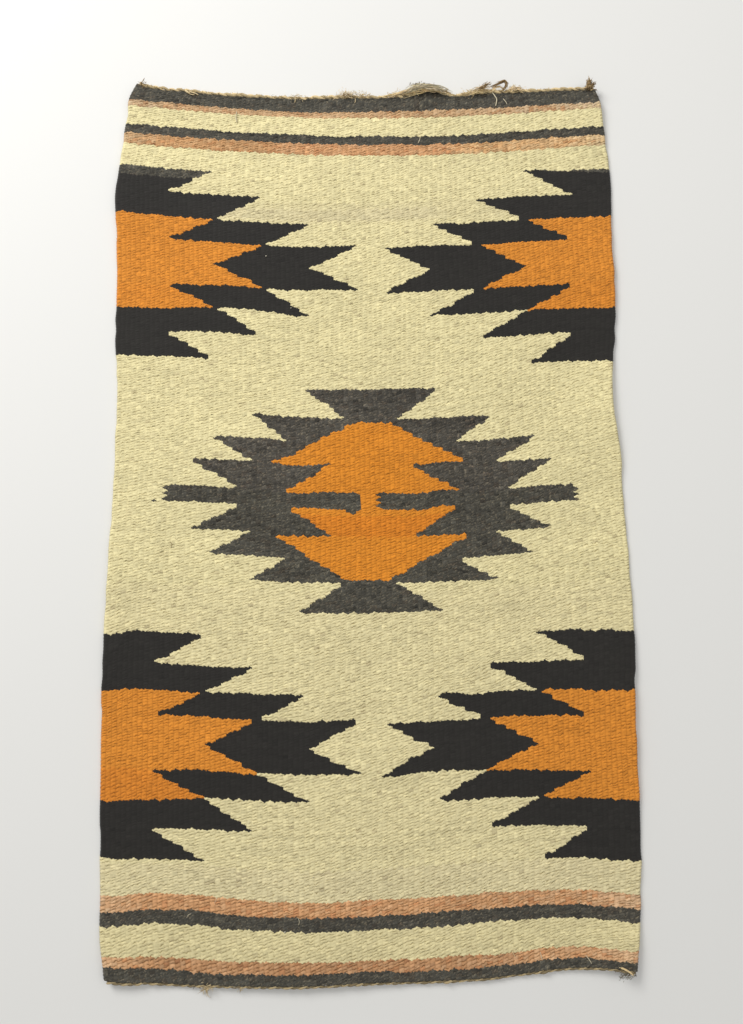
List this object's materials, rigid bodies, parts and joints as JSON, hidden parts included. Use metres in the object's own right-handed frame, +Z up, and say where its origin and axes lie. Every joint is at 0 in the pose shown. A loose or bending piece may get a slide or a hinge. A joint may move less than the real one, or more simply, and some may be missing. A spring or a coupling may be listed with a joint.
{
  "type": "navajo rug",
  "caption": "Small flat-woven wool rug with serrated diamonds and striped ends, lying flat, with a twined cord and frayed warp ends along each end.",
  "frame": {"origin": "on the floor under the middle of the whole rug's box", "axes": "+Z up from the floor, +Y along the rug's length towards its top end, +X across it to the right"},
  "size_m": [0.4674, 0.8126, 0.008],
  "materials": {
    "woven_wool": "weft-faced plain weave in cream, black, charcoal, orange and rust handspun wool",
    "warp_cord": "straw-coloured two-ply cotton cord, twined and a little frayed"
  },
  "bodies": {
    "root": {"woven_cloth": "woven_wool", "top_end_cord": "warp_cord", "bottom_end_cord": "warp_cord"}
  },
  "joints": []
}
